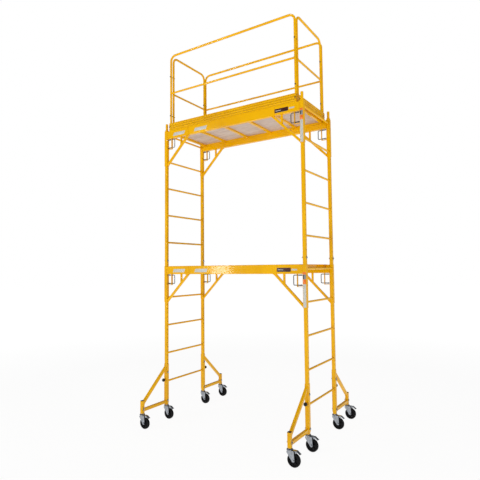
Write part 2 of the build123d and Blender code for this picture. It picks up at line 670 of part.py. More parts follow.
def make_fork():
    """The swivelling fork with its lower race, axle bolt, nut and pedal pin."""
    inner_face = Plane((0, -CHEEK_IN, 0), x_dir=(1, 0, 0), z_dir=(0, -1, 0))
    cheek = extrude(inner_face * cheek_outline(), CHEEK_THICK)
    fork = cheek + mirror(cheek, about=Plane.XZ)
    fork += bar(-24, 31, -CHEEK_IN - 1, CHEEK_IN + 1, CROWN_LOW, CROWN_HIGH)
    fork += rod_z(RACE_R - 2, CROWN_LOW, LOWER_RACE_TOP, 0, 0)
    fork -= rod_z(KINGPIN_R + RUNNING_GAP, CROWN_LOW - 5, LOWER_RACE_TOP + 5, 0, 0)
    reach = CHEEK_IN + CHEEK_THICK
    fork -= rod_y(AXLE_R + 0.1, -reach - 1, reach + 1, WHEEL_TRAIL, WHEEL_R)
    fork -= rod_y(PEDAL_PIN_R, -reach - 1, reach + 1, PEDAL_PIN_X, PEDAL_PIN_Z)
    bolt = rod_y(AXLE_R, -reach, reach + 6.5, WHEEL_TRAIL, WHEEL_R)
    bolt += hexagon_y(18.0, -reach - 6.0, -reach, WHEEL_TRAIL, WHEEL_R)
    nut = hexagon_y(18.0, reach, reach + 5.5, WHEEL_TRAIL, WHEEL_R)
    nut -= rod_y(AXLE_R, reach - 1, reach + 8, WHEEL_TRAIL, WHEEL_R)
    pin = rod_y(PEDAL_PIN_R, -reach - 1.5, reach + 1.5, PEDAL_PIN_X, PEDAL_PIN_Z)
    return [fork, bolt, nut, pin]


def make_wheel():
    """The tyre, rim and hub turned about the axle, lying at the trailing axle place."""
    half = [(AXLE_R + RUNNING_GAP, 19.0), (13.0, 19.0), (15.0, 17.0), (17.0, 9.0), (41.0, 7.0), (43.0, 12.5),
            (46.0, 13.5), (47.0, 11.5), (50.0, 11.5), (51.0, 14.0), (56.0, 16.0), (60.0, 14.5), (62.5, 11.0),
            (WHEEL_R, 6.0)]
    outline = half + [(r, -z) for r, z in reversed(half)]
    wheel = revolve(ring_profile(outline), Axis.Z)
    return Pos(WHEEL_TRAIL, 0, WHEEL_R) * Rot(90, 0, 0) * wheel


def make_brake():
    """The foot pedal over the wheel, hinged on the fork's pedal pin, with its shoe above the tyre."""
    profile = Polyline((34, 146.5), (36, 149.5), (73, 149.5), (104, 126.5), (PEDAL_REACH, 128.0),
                       (PEDAL_REACH, 124.5), (103, 122.5), (72, 145.0), (70, 128.3), (57, 130.2), (57, 146.0),
                       close=True)
    side = Plane((0, 0, 0), x_dir=(1, 0, 0), z_dir=(0, -1, 0))
    pedal = extrude(side * make_face(profile), PEDAL_WIDTH / 2, both=True)
    barrel = CHEEK_IN - 1.5
    pedal += rod_y(2 * PEDAL_PIN_R, -barrel, barrel, PEDAL_PIN_X, PEDAL_PIN_Z)
    bore = rod_y(PEDAL_PIN_R + RUNNING_GAP, -30, 30, PEDAL_PIN_X, PEDAL_PIN_Z)
    return pedal - bore


def write_casters():
    stem = make_stem()
    fork = make_fork()
    wheel = make_wheel()
    brake = make_brake()
    stems = []
    for face, sy in SIDES_Y.items():
        for side, sx in SIDES_X.items():
            for role, y in (("post", HALF_Y), ("outrigger", OUTER_Y)):
                place = Pos(sx * HALF_X, sy * y, 0)
                name = "_".join((face, side, role))
                stems.append(place * stem)
                write(name + "_caster_fork", [place * piece for piece in fork])
                write(name + "_caster_wheel", [place * wheel])
                write(name + "_caster_brake", [place * brake])
    write("caster_stems", stems)


# ---------------------------------------------------------------- the whole scaffold
os.makedirs("parts", exist_ok=True)
write_frames()
write_rails()
write_loops()
write_decks()
write_toe_boards()
write_guardrails()
write_guard_bolts()
write_outriggers()
write_hitch_pins()
write_casters()
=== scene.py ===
"""The looks of a two-tier rolling baker scaffold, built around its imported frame. Lengths are in metres."""

import json
import math

import bmesh
import bpy
from mathutils import Matrix, Vector


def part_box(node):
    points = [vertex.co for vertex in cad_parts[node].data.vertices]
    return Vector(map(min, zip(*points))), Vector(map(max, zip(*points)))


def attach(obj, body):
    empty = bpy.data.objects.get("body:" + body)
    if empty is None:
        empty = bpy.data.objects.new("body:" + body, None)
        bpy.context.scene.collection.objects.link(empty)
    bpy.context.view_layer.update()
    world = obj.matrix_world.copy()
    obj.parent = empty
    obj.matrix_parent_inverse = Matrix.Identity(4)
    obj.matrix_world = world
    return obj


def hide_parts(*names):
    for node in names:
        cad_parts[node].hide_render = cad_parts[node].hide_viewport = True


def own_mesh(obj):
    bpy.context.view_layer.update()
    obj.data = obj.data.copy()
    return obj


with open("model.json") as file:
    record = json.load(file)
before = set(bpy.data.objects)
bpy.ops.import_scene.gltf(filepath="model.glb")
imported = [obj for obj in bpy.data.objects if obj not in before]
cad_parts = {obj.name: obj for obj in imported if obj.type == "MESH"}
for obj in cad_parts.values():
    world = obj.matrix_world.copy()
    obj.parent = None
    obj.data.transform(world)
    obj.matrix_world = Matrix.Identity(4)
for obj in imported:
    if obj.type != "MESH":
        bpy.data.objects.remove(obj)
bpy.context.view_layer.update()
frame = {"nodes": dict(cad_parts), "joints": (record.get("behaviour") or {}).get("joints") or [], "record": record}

# ------------------------------------------------------------------ places read from the frame
SIDES_X = {"left": -1, "right": 1}
SIDES_Y = {"front": -1, "rear": 1}
TIERS = ("lower", "upper")
PIVOTS = {joint["name"]: Vector(joint["pos_m"]) for joint in frame["joints"] if "pos_m" in joint}
CASTERS = ["_".join((face, side, role, "caster")) for face in SIDES_Y for side in SIDES_X
           for role in ("post", "outrigger")]

POST_X = {side: PIVOTS["front_%s_post_caster_swivel" % side].x for side in SIDES_X}
POST_Y = {face: PIVOTS["%s_left_post_caster_swivel" % face].y for face in SIDES_Y}
OUTER_Y = {face: PIVOTS["%s_left_outrigger_caster_swivel" % face].y for face in SIDES_Y}
MIDDLE_X = (POST_X["left"] + POST_X["right"]) / 2
HALF_X = (POST_X["right"] - POST_X["left"]) / 2
HALF_Y = POST_Y["rear"]
BASE = {tier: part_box(tier + "_left_end_frame")[0].z for tier in TIERS}
DECK_TOP = {tier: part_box(tier + "_deck_board")[1].z for tier in TIERS}
TIER = BASE["upper"] - BASE["lower"]

# ------------------------------------------------------------------ sizes of what the pieces join
HALF_POST = 0.0175
SLEEVE_OUT = 0.021
RUNGS = 5
RUNG_R = 0.011
FIRST_RUNG = 0.274
RUNG_PITCH = TIER / RUNGS
HOLE_PITCH = TIER / 33

RAIL_HEIGHT = 0.095
RAIL_WIDTH = 0.040
RAIL_LIP = 0.003
KNEE_TOP = 0.582
KNEE_SIZE = 0.025
STRUT_X = 0.690
STRUT_SIZE = 0.020
STRAP_X = 0.590
STRAP_WIDTH = 0.046
CROSS_MEMBERS = (-0.514, -0.171, 0.171, 0.514)

LOOP_HOLES = (28.5 * HOLE_PITCH, 30.5 * HOLE_PITCH)
SPRING_NEAR = 0.841
SPRING_FAR = 0.880
SPRING_R = 0.0062
SPRING_WIRE = 0.001
SPRING_TURNS = 6.5

GUARD_R = 0.0127
GUARD_MID_R = 0.011
GUARD_MID = 3.977
GUARD_LEG_X = 0.857
GUARD_SIDE_Y = 0.356
GUARD_END_Y = {"front": -0.310, "rear": 0.322}
TOE_HEIGHT = 0.094
TOE_BAND = TOE_HEIGHT / 7
TOE_RIB = 0.004
# sizes of the thin beads of painted shade along the toe boards' rib corners
GROOVE_R = 0.0013
GROOVE_OFF = 0.002
GROOVE_INSET = 0.010

BASE_TUBE = 0.032
BASE_TUBE_Z = 0.036
BRACE_TUBE = 0.030
BRACE_HIGH = 0.440
BRACE_LOW = 0.118
BRACE_FAR = abs(OUTER_Y["rear"]) - HALF_Y - HALF_POST
BRACE_LEAN = math.atan2(BRACE_HIGH - BRACE_LOW, BRACE_FAR - SLEEVE_OUT)
KNOB_NEAR = 0.042
KNOB_R = 0.019
KNOB_LOBES = 8
SCREW_R = 0.005

WELD_R = 0.0023
WELD_STEP = 0.0011
WELD_RIPPLE = 0.0042
GUARD_WELD_R = 0.002
RAIL_CORNER = 0.004
TUBE_CORNER = 0.003
STRUT_CORNER = 0.002
STRUT_WELD_R = 0.0019
STRAP_WELD_R = 0.0016
STRAP_SEAM_INSET = 0.012


# ------------------------------------------------------------------ node helpers
def new_material(name):
    """A material with its node tree and its main shader."""
    material = bpy.data.materials.new(name)
    material.use_nodes = True
    tree = material.node_tree
    return material, tree, tree.nodes["Principled BSDF"]


def add_node(tree, kind, **values):
    """A new node with some of its sockets set by name, underscores standing for spaces."""
    node = tree.nodes.new(kind)
    for name, value in values.items():
        node.inputs[name.replace("_", " ")].default_value = value
    return node


def object_space(tree, scale=(1.0, 1.0, 1.0)):
    """The object's own coordinates, stretched."""
    where = tree.nodes.new("ShaderNodeTexCoord")
    mapping = add_node(tree, "ShaderNodeMapping", Scale=scale)
    tree.links.new(where.outputs["Object"], mapping.inputs["Vector"])
    return mapping.outputs["Vector"]


def noise(tree, vector, scale, detail=2.0, roughness=0.5):
    node = add_node(tree, "ShaderNodeTexNoise", Scale=scale, Detail=detail, Roughness=roughness)
    tree.links.new(vector, node.inputs["Vector"])
    return node.outputs["Fac"]


def ramp(tree, factor, stops):
    """A colour ramp over (position, colour) stops."""
    node = tree.nodes.new("ShaderNodeValToRGB")
    marks = node.color_ramp.elements
    while len(marks) < len(stops):
        marks.new(0.5)
    for mark, (position, colour) in zip(marks, stops):
        mark.position = position
        mark.color = (*colour, 1.0)
    tree.links.new(factor, node.inputs["Fac"])
    return node.outputs["Color"]


def spread(tree, factor, low, high, start=0.3, end=0.7):
    """The factor's middle stretch mapped to low..high."""
    node = add_node(tree, "ShaderNodeMapRange", From_Min=start, From_Max=end, To_Min=low, To_Max=high)
    tree.links.new(factor, node.inputs["Value"])
    return node.outputs["Result"]


def bump(tree, shader, height, strength, distance):
    node = add_node(tree, "ShaderNodeBump", Strength=strength, Distance=distance)
    tree.links.new(height, node.inputs["Height"])
    tree.links.new(node.outputs["Normal"], shader.inputs["Normal"])


def total(tree, first, second, share):
    """first plus share times second."""
    node = tree.nodes.new("ShaderNodeMath")
    node.operation = "MULTIPLY_ADD"
    tree.links.new(second, node.inputs[0])
    node.inputs[1].default_value = share
    tree.links.new(first, node.inputs[2])
    return node.outputs["Value"]


# ------------------------------------------------------------------ materials
def powder_coat():
    """Glossy safety-yellow powder coat: faint orange peel and slow changes of thickness."""
    material, tree, shader = new_material("yellow_powder_coat")
    space = object_space(tree)
    slow = noise(tree, space, 3.5, 3.0)
    fine = noise(tree, space, 60.0, 4.0, 0.6)
    colour = ramp(tree, total(tree, slow, fine, 0.25),
                  [(0.40, (0.80, 0.395, 0.0006)), (0.62, (0.88, 0.455, 0.001)), (0.80, (0.92, 0.485, 0.002))])
    tree.links.new(colour, shader.inputs["Base Color"])
    tree.links.new(spread(tree, fine, 0.07, 0.13), shader.inputs["Roughness"])
    shader.inputs["Specular IOR Level"].default_value = 0.22
    peel = noise(tree, space, 420.0, 1.0)
    bump(tree, shader, total(tree, peel, fine, 0.4), 0.2, 0.00003)
    return material


def thick_coat_and_painted_shade(name, dark, light):
    """The same coat where it lies thicker and rougher over a weld bead; given dark colours, it is painted shade in
    a rib corner.
    """
    material, tree, shader = new_material(name)
    space = object_space(tree)
    grain = noise(tree, space, 160.0, 3.0, 0.6)
    colour = ramp(tree, grain, [(0.3, dark), (0.7, light)])
    tree.links.new(colour, shader.inputs["Base Color"])
    tree.links.new(spread(tree, grain, 0.3, 0.5), shader.inputs["Roughness"])
    shader.inputs["Specular IOR Level"].default_value = 0.2
    bump(tree, shader, grain, 0.4, 0.0004)
    return material


def zinc(name, light, dark, rough_low, rough_high):
    """Zinc-plated steel with a soft cloudy bloom and fine scratches."""
    material, tree, shader = new_material(name)
    space = object_space(tree)
    cloud = noise(tree, space, 45.0, 4.0, 0.6)
    scratch = noise(tree, object_space(tree, (900.0, 40.0, 900.0)), 1.0, 3.0, 0.7)
    colour = ramp(tree, cloud, [(0.32, dark), (0.68, light)])
    tree.links.new(colour, shader.inputs["Base Color"])
    tree.links.new(spread(tree, total(tree, cloud, scratch, 0.3), rough_low, rough_high, 0.4, 0.9),
                   shader.inputs["Roughness"])
    shader.inputs["Metallic"].default_value = 1.0
    bump(tree, shader, scratch, 0.12, 0.0002)
    return material


def plywood():
    """Pale hardwood plywood: long grain with cathedral streaks, glue lines on its edges."""
    material, tree, shader = new_material("plywood")
    grain_space = object_space(tree, (2.2, 26.0, 26.0))
    streaks = noise(tree, grain_space, 2.6, 5.0, 0.62)
    bands = add_node(tree, "ShaderNodeTexWave", Scale=2.4, Distortion=7.0, Detail=3.0, Detail_Scale=1.3)
    bands.bands_direction = "Y"
    tree.links.new(object_space(tree, (0.7, 5.5, 5.5)), bands.inputs["Vector"])
    figure = total(tree, streaks, bands.outputs["Fac"], 0.22)
    colour = ramp(tree, figure, [(0.42, (0.44, 0.32, 0.25)), (0.58, (0.60, 0.47, 0.39)),
                                 (0.72, (0.68, 0.56, 0.48)), (0.88, (0.76, 0.66, 0.58))])
    plies = add_node(tree, "ShaderNodeTexWave", Scale=180.0, Distortion=0.6, Detail=1.0)
    plies.bands_direction = "Z"
    tree.links.new(object_space(tree), plies.inputs["Vector"])
    normal = tree.nodes.new("ShaderNodeNewGeometry")
    split = tree.nodes.new("ShaderNodeSeparateXYZ")
    tree.links.new(normal.outputs["Normal"], split.inputs["Vector"])
    upright = tree.nodes.new("ShaderNodeMath")
    upright.operation = "ABSOLUTE"
    tree.links.new(split.outputs["Z"], upright.inputs[0])
    edges = ramp(tree, plies.outputs["Fac"], [(0.25, (0.26, 0.15, 0.09)), (0.75, (0.62, 0.47, 0.34))])
    mix = tree.nodes.new("ShaderNodeMix")
    mix.data_type = "RGBA"
    tree.links.new(upright.outputs["Value"], mix.inputs["Factor"])
    tree.links.new(edges, mix.inputs["A"])
    tree.links.new(colour, mix.inputs["B"])
    tree.links.new(mix.outputs["Result"], shader.inputs["Base Color"])
    tree.links.new(spread(tree, streaks, 0.42, 0.62), shader.inputs["Roughness"])
    bump(tree, shader, figure, 0.35, 0.0006)
    return material


def dark_solid(name, low, high, rough_low, rough_high, cell, depth):
    """A moulded dark surface: cloudy tone, fine grain and a changing sheen."""
    material, tree, shader = new_material(name)
    space = object_space(tree)
    cloud = noise(tree, space, 30.0, 4.0, 0.6)
    grain = noise(tree, space, cell, 2.0)
    tree.links.new(ramp(tree, cloud, [(0.3, low), (0.72, high)]), shader.inputs["Base Color"])
    tree.links.new(spread(tree, cloud, rough_low, rough_high), shader.inputs["Roughness"])
    shader.inputs["Specular IOR Level"].default_value = 0.14
    bump(tree, shader, grain, 0.35, depth)
    return material


def label_print(name, low, high):
    """Printed vinyl: faintly mottled ink over a film that isn't quite flat."""
    material, tree, shader = new_material(name)
    space = object_space(tree)
    mottle = noise(tree, space, 70.0, 3.0)
    tree.links.new(ramp(tree, mottle, [(0.3, low), (0.7, high)]), shader.inputs["Base Color"])
    tree.links.new(spread(tree, mottle, 0.30, 0.42), shader.inputs["Roughness"])
    bump(tree, shader, noise(tree, space, 35.0, 1.0), 0.2, 0.0004)
    return material


YELLOW = powder_coat()
WELD = thick_coat_and_painted_shade("yellow_weld_coat", (0.66, 0.28, 0.003), (0.90, 0.43, 0.006))
# painted shade: a dark coat for the toe boards' rib corners, where shade falls
PAINTED_GROOVE_SHADE = thick_coat_and_painted_shade("yellow_painted_groove_shade", (0.20, 0.080, 0.002), (0.34, 0.145, 0.003))
ZINC = zinc("zinc_plate", (0.46, 0.48, 0.51), (0.24, 0.26, 0.29), 0.16, 0.32)
ROD = zinc("plain_rod", (0.26, 0.26, 0.27), (0.14, 0.14, 0.15), 0.30, 0.46)
SPRING = zinc("spring_steel", (0.50, 0.51, 0.53), (0.34, 0.35, 0.38), 0.22, 0.36)
BOLT = zinc("black_oxide", (0.13, 0.12, 0.12), (0.06, 0.055, 0.055), 0.34, 0.5)
PLYWOOD = plywood()
RUBBER = dark_solid("black_rubber", (0.004, 0.004, 0.0045), (0.008, 0.008, 0.0085), 0.48, 0.66,
                    900.0, 0.0003)
CORE = dark_solid("black_core", (0.004, 0.004, 0.005), (0.009, 0.009, 0.010), 0.30, 0.44, 500.0, 0.0002)
PLASTIC = dark_solid("black_plastic", (0.012, 0.012, 0.012), (0.024, 0.024, 0.025), 0.36, 0.52,
                     1200.0, 0.0002)
PALE = label_print("pale_film", (0.50, 0.50, 0.46), (0.62, 0.62, 0.57))
ORANGE = label_print("orange_film", (0.80, 0.155, 0.012), (0.90, 0.20, 0.02))
GREY = label_print("grey_film", (0.20, 0.21, 0.23), (0.30, 0.31, 0.34))
MAROON = label_print("maroon_film", (0.040, 0.006, 0.004), (0.075, 0.012, 0.008))
INK = label_print("black_film", (0.010, 0.008, 0.008), (0.022, 0.018, 0.018))

NODE_MATERIALS = {
    "yellow_powder_coat": YELLOW,
    "plywood": PLYWOOD,
    "zinc_steel": ZINC,
    "plain_steel": ROD,
    "black_rubber": RUBBER,
    "black_plastic": PLASTIC,
    "dark_bolts": BOLT,
}


def paint_nodes():
    """Gives each CAD node the material of its slot in the record."""
    for part in frame["record"]["subparts"]:
        node = frame["nodes"][part["node"]]
        node.data.materials.clear()
        node.data.materials.append(NODE_MATERIALS[part["material_slot"]])


# ------------------------------------------------------------------ mesh helpers
class Shape:
    """Vertices and faces that grow into one piece."""

    def __init__(self):
        self.vertices = []
        self.faces = []
        self.tints = []

    def add(self, vertices, faces, tint=0):
        start = len(self.vertices)
        self.vertices += [tuple(v) for v in vertices]
        self.faces += [tuple(start + i for i in face) for face in faces]
        self.tints += [tint] * len(faces)


def make_piece(name, shape, body, materials, sharp=38.0):
    """A piece from a shape, smooth except over its sharp edges, that rides on a body."""
    mesh = bpy.data.meshes.new(name)
    mesh.from_pydata(shape.vertices, [], shape.faces)
    grid = bmesh.new()
    grid.from_mesh(mesh)
    bmesh.ops.recalc_face_normals(grid, faces=grid.faces)
    grid.to_mesh(mesh)
    grid.free()
    for material in materials:
        mesh.materials.append(material)
    mesh.polygons.foreach_set("material_index", shape.tints)
    mesh.polygons.foreach_set("use_smooth", [True] * len(mesh.polygons))
    mesh.set_sharp_from_angle(angle=math.radians(sharp))
    piece = bpy.data.objects.new(name, mesh)
    bpy.context.scene.collection.objects.link(piece)
    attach(piece, body)
    return piece


def tube_along(shape, points, radius, up, closed=False, sides=10, swell=None):
    """A round bead or wire along points.

    up isn't along any stretch of it, and swell scales the radius at each point.
    """
    count = len(points)
    vertices = []
    for i, point in enumerate(points):
        if closed:
            ahead = points[(i + 1) % count] - points[i - 1]
        else:
            ahead = points[min(i + 1, count - 1)] - points[max(i - 1, 0)]
        ahead.normalize()
        out = (up - up.dot(ahead) * ahead).normalized()
        across = ahead.cross(out)
        r = radius * (swell(i) if swell else 1.0)
        for k in range(sides):
            angle = 2 * math.pi * k / sides
            vertices.append(point + r * (math.cos(angle) * out + math.sin(angle) * across))
    faces = []
    for i in range(count if closed else count - 1):
        row = i * sides
        following = ((i + 1) % count) * sides
        for k in range(sides):
            k2 = (k + 1) % sides
            faces.append((row + k, row + k2, following + k2, following + k))
    if not closed:
        faces.append(tuple(range(sides))[::-1])
        faces.append(tuple((count - 1) * sides + k for k in range(sides)))
    shape.add(vertices, faces)


def evenly(points, step, closed=True):
    """The same path with its points a fixed step apart."""
    path = points + [points[0]] if closed else points
    lengths = [(b - a).length for a, b in zip(path, path[1:])]
    whole = sum(lengths)
    count = max(8, round(whole / step))
    spaced = []
    leg, walked = 0, 0.0
    for i in range(count if closed else count + 1):
        target = whole * i / count
        while leg < len(lengths) - 1 and walked + lengths[leg] < target:
            walked += lengths[leg]
            leg += 1
        share = (target - walked) / lengths[leg]
        spaced.append(path[leg].lerp(path[leg + 1], min(share, 1.0)))
    return spaced


def ellipse(centre, u, v, count=48):
    """Points round centre; u and v are the two half axes."""
    turns = [2 * math.pi * k / count for k in range(count)]
    return [centre + math.cos(a) * u + math.sin(a) * v for a in turns]


def rounded_box(centre, u, v, corner, arc=5):
    """Points round a rectangle with half sides u and v and rounded corners."""
    across, along = u.normalized(), v.normalized()
    points = []
    for quarter, (su, sv) in enumerate(((1, 1), (-1, 1), (-1, -1), (1, -1))):
        middle = centre + su * (u - corner * across) + sv * (v - corner * along)
        for k in range(arc + 1):
            angle = math.pi / 2 * (quarter + k / arc)
            points.append(middle + corner * (math.cos(angle) * across + math.sin(angle) * along))
    return points


def weld(shape, path, normal, closed=True, radius=WELD_R):
    """A rippled bead along a path that lies in the plane of normal."""
    points = evenly(path, WELD_STEP, closed)
    turns = max(4, round(len(points) * WELD_STEP / WELD_RIPPLE))

    def swell(i):
        phase = 2 * math.pi * turns * i / len(points)
        wander = 0.06 * math.sin(phase * 0.23 + 1.3) if not closed else 0.06 * math.sin(3 * phase / turns)
        return 1.0 + 0.10 * math.cos(phase) + wander

    tube_along(shape, points, radius, normal, closed, 8, swell)


def lathe(shape, profile, centre, axis, start, segments=72, tint=0):
    """Turns a closed outline of (radius, height) points about an axis through centre; start is across it."""
    side = axis.cross(start)
    vertices = []
    for k in range(segments):
        angle = 2 * math.pi * k / segments
        out = math.cos(angle) * start + math.sin(angle) * side
        vertices += [centre + r * out + h * axis for r, h in profile]
    rows = len(profile)
    faces = []
    for k in range(segments):
        here, there = k * rows, (k + 1) % segments * rows
        for i in range(rows):
            j = (i + 1) % rows
            faces.append((here + i, here + j, there + j, there + i))
    shape.add(vertices, faces, tint)


def dome(shape, centre, normal, radius, height, segments=20, tint=0):
    """A low round head that stands on a surface."""
    start = normal.orthogonal().normalized()
    side = normal.cross(start)
    rings = [(1.0, -0.2), (1.0, 0.25), (0.86, 0.62), (0.6, 0.88), (0.28, 0.99)]
    vertices = []
    for share, rise in rings:
        for k in range(segments):
            angle = 2 * math.pi * k / segments
            out = math.cos(angle) * start + math.sin(angle) * side
            vertices.append(centre + share * radius * out + rise * height * normal)
    faces = [tuple(range(segments))[::-1]]
    for row in range(len(rings) - 1):
        for k in range(segments):
            k2 = (k + 1) % segments
            a, b = row * segments, (row + 1) * segments
            faces.append((a + k, a + k2, b + k2, b + k))
    last = (len(rings) - 1) * segments
    faces.append(tuple(last + k for k in range(segments)))
    shape.add(vertices, faces, tint)


X, Y, Z = Vector((1, 0, 0)), Vector((0, 1, 0)), Vector((0, 0, 1))


# ------------------------------------------------------------------ weld beads
def rung_welds():
    """A bead round each end of each rung."""
    for tier in TIERS:
        for side in SIDES_X:
            shape = Shape()
            for k in range(RUNGS):
                height = BASE[tier] + FIRST_RUNG + k * RUNG_PITCH
                for sy in (-1, 1):
                    centre = Vector((POST_X[side], sy * (HALF_Y - HALF_POST - WELD_R / 3), height))
                    reach = RUNG_R + WELD_R / 3
                    weld(shape, ellipse(centre, reach * X, reach * Z), Y)
            make_piece("%s_%s_rung_welds" % (tier, side), shape, "tower", [WELD])


def rail_end_welds(shape, sx, sy, bottom):
    """Beads at one end of a side rail whose underside is at the height bottom."""
    def spot(out, height):
        return Vector((MIDDLE_X + sx * out, sy * HALF_Y, height))

    end = HALF_X - SLEEVE_OUT
    drop = end - KNEE_TOP
    slant = (X - Z).normalized()
    along = Vector((sx * slant.x, 0, slant.z))
    diagonal = KNEE_SIZE * math.sqrt(0.5)
    sleeve = rounded_box(spot(end - WELD_R / 3, bottom + RAIL_HEIGHT / 2), RAIL_WIDTH / 2 * Y,
                         RAIL_HEIGHT / 2 * Z, RAIL_CORNER)
    weld(shape, sleeve, X)
    top = rounded_box(spot(KNEE_TOP, bottom - WELD_R / 3), KNEE_SIZE / 2 * Y, diagonal * X, TUBE_CORNER)
    weld(shape, top, Z)
    foot = rounded_box(spot(end - WELD_R / 3, bottom - drop), KNEE_SIZE / 2 * Y, diagonal * Z,
                       TUBE_CORNER)
    weld(shape, foot, X)
    upper = rounded_box(spot(STRUT_X, bottom - WELD_R / 3), STRUT_SIZE / 2 * Y, STRUT_SIZE / 2 * X,
                        STRUT_CORNER)
    weld(shape, upper, Z, radius=STRUT_WELD_R)
    meet = spot(STRUT_X, bottom - (STRUT_X - KNEE_TOP) + diagonal + WELD_R / 3)
    lower = rounded_box(meet, STRUT_SIZE / 2 * Y, STRUT_SIZE * math.sqrt(0.5) * along, STRUT_CORNER)
    weld(shape, lower, Vector((sx, 0, 1)).normalized(), radius=STRUT_WELD_R)
    face_y = sy * RAIL_WIDTH / 2 * Y
    for edge in (-1, 1):
        x = STRAP_X + edge * STRAP_WIDTH / 2
        seam = [spot(x, bottom + STRAP_SEAM_INSET) + face_y,
                spot(x, bottom + RAIL_HEIGHT - STRAP_SEAM_INSET) + face_y]
        weld(shape, seam, Y, closed=False, radius=STRAP_WELD_R)


def rail_welds():
    """Beads where each side rail meets its sleeves, knee braces, struts and brackets."""
    for tier in TIERS:
        bottom = DECK_TOP[tier] - RAIL_LIP - RAIL_HEIGHT
        for face, sy in SIDES_Y.items():
            shape = Shape()
            for sx in SIDES_X.values():
                rail_end_welds(shape, sx, sy, bottom)
            make_piece("%s_%s_rail_welds" % (tier, face), shape, "tower", [WELD])


def outrigger_end_welds(shape, side, sy, out, height, shift):
    """Beads round the base tube and the brace where they end, out from the post; the brace ends at height."""
    out += shift * WELD_R / 3
    low = Vector((POST_X[side], sy * (HALF_Y + out), BASE["lower"] + BASE_TUBE_Z))
    weld(shape, rounded_box(low, BASE_TUBE / 2 * X, BASE_TUBE / 2 * Z, TUBE_CORNER), Y)
    high = Vector((POST_X[side], sy * (HALF_Y + out), BASE["lower"] + height))
    cut = BRACE_TUBE / 2 / math.cos(BRACE_LEAN)
    weld(shape, rounded_box(high, BRACE_TUBE / 2 * X, cut * Z, TUBE_CORNER), Y)


def outrigger_welds():
    """Beads at both ends of each outrigger's base tube and brace."""
    for face, sy in SIDES_Y.items():
        shape = Shape()
        for side in SIDES_X:
            outrigger_end_welds(shape, side, sy, SLEEVE_OUT, BRACE_HIGH, 1)
            outrigger_end_welds(shape, side, sy, BRACE_FAR, BRACE_LOW, -1)
        make_piece(face + "_outrigger_welds", shape, "tower", [WELD])


def saddle(leg, away, count=56):
    """The curve where a middle rail that runs along away meets an upright leg."""
    across = Z.cross(away)
    points = []
    for k in range(count):
        angle = 2 * math.pi * k / count
        reach = GUARD_MID_R + WELD_R / 4
        off = reach * math.cos(angle)
        out = math.sqrt(max((GUARD_R + WELD_R / 4) ** 2 - off ** 2, 0.0))
        points.append(leg + out * away + off * across + reach * math.sin(angle) * Z)
    return points


def guard_welds():
    """Beads where each middle rail meets its two legs."""
    for face, sy in SIDES_Y.items():
        shape = Shape()
        for sx in SIDES_X.values():
            leg = Vector((MIDDLE_X + sx * GUARD_LEG_X, sy * GUARD_SIDE_Y, GUARD_MID))
            weld(shape, saddle(leg, -sx * X), X, radius=GUARD_WELD_R)
        make_piece(face + "_guardrail_welds", shape, "tower", [WELD])
    for side, sx in SIDES_X.items():
        shape = Shape()
        for face, sy in SIDES_Y.items():
            leg = Vector((MIDDLE_X + sx * GUARD_LEG_X, GUARD_END_Y[face], GUARD_MID))
            weld(shape, saddle(leg, -sy * Y), Y, radius=GUARD_WELD_R)
        make_piece(side + "_end_guardrail_welds", shape, "tower", [WELD])


# ------------------------------------------------------------------ lock pin springs
def helix(start, length, centre_y, centre_z, direction, count=180):
    """A coil's centreline along X with a closed turn at each end."""
    points = []
    dead = 1.0 / SPRING_TURNS
    closed_run = 2 * SPRING_WIRE / length
    for i in range(count + 1):
        t = i / count
        if t < dead:
            share = t / dead * closed_run
        elif t > 1 - dead:
            share = 1 - (1 - t) / dead * closed_run
        else:
            share = closed_run + (t - dead) / (1 - 2 * dead) * (1 - 2 * closed_run)
        angle = 2 * math.pi * SPRING_TURNS * t
        x = start + direction * (SPRING_WIRE + share * (length - 2 * SPRING_WIRE))
        points.append(Vector((x, centre_y + SPRING_R * math.cos(angle),
                              centre_z + SPRING_R * math.sin(angle))))
    return points


def lock_springs():
    """Each lock pin's two coil springs, built at one fixed length and riding on the tower."""
    for tier in TIERS:
        for face in SIDES_Y:
            for side, sx in SIDES_X.items():
                shape = Shape()
                start = MIDDLE_X + sx * SPRING_NEAR
                for hole in LOOP_HOLES:
                    line = helix(start, SPRING_FAR - SPRING_NEAR, POST_Y[face], BASE[tier] + hole, sx)
                    tube_along(shape, line, SPRING_WIRE, X, sides=8)
                name = "%s_%s_%s_lock_pin" % (tier, face, side)
                piece = make_piece(name + "_springs", shape, "tower", [SPRING])
                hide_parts("lock_pin_springs")
                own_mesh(piece)


# ------------------------------------------------------------------ wheels
TYRE = [(0.0485, 0.0100), (0.0490, 0.0122), (0.0502, 0.0140), (0.0522, 0.0151), (0.0545, 0.0157),
        (0.0570, 0.0158), (0.0590, 0.0153), (0.0607, 0.0141), (0.0620, 0.0122), (0.0629, 0.0094),
        (0.0633, 0.0060), (0.0635, 0.0020)]
CORE_OUTLINE = [(0.0090, 0.0182), (0.0120, 0.0182), (0.0132, 0.0172), (0.0150, 0.0070), (0.0175, 0.0045),
                (0.0400, 0.0045), (0.0425, 0.0060), (0.0434, 0.0118), (0.0446, 0.0128), (0.0480, 0.0128),
                (0.0488, 0.0120), (0.0490, 0.0095)]
BUSH_OUTLINE = [(0.0066, 0.0190), (0.0086, 0.0190), (0.0092, 0.0184)]
CORE_RIBS = 6
RIB_INNER = 0.0135
RIB_OUTER = 0.0436
RIB_HALF_THICK = 0.0020
RIB_HUB_HEIGHT = 0.0150
RIB_RIM_HEIGHT = 0.0105
RIB_OUTLINE = [(-1.0, -0.86), (-0.82, -0.98), (0.82, -0.98), (1.0, -0.86), (1.0, 0.86), (0.82, 0.98),
               (-0.82, 0.98), (-1.0, 0.86)]


def mirrored(outline):
    """A half outline closed by its mirror image."""
    return outline + [(r, -h) for r, h in reversed(outline)]


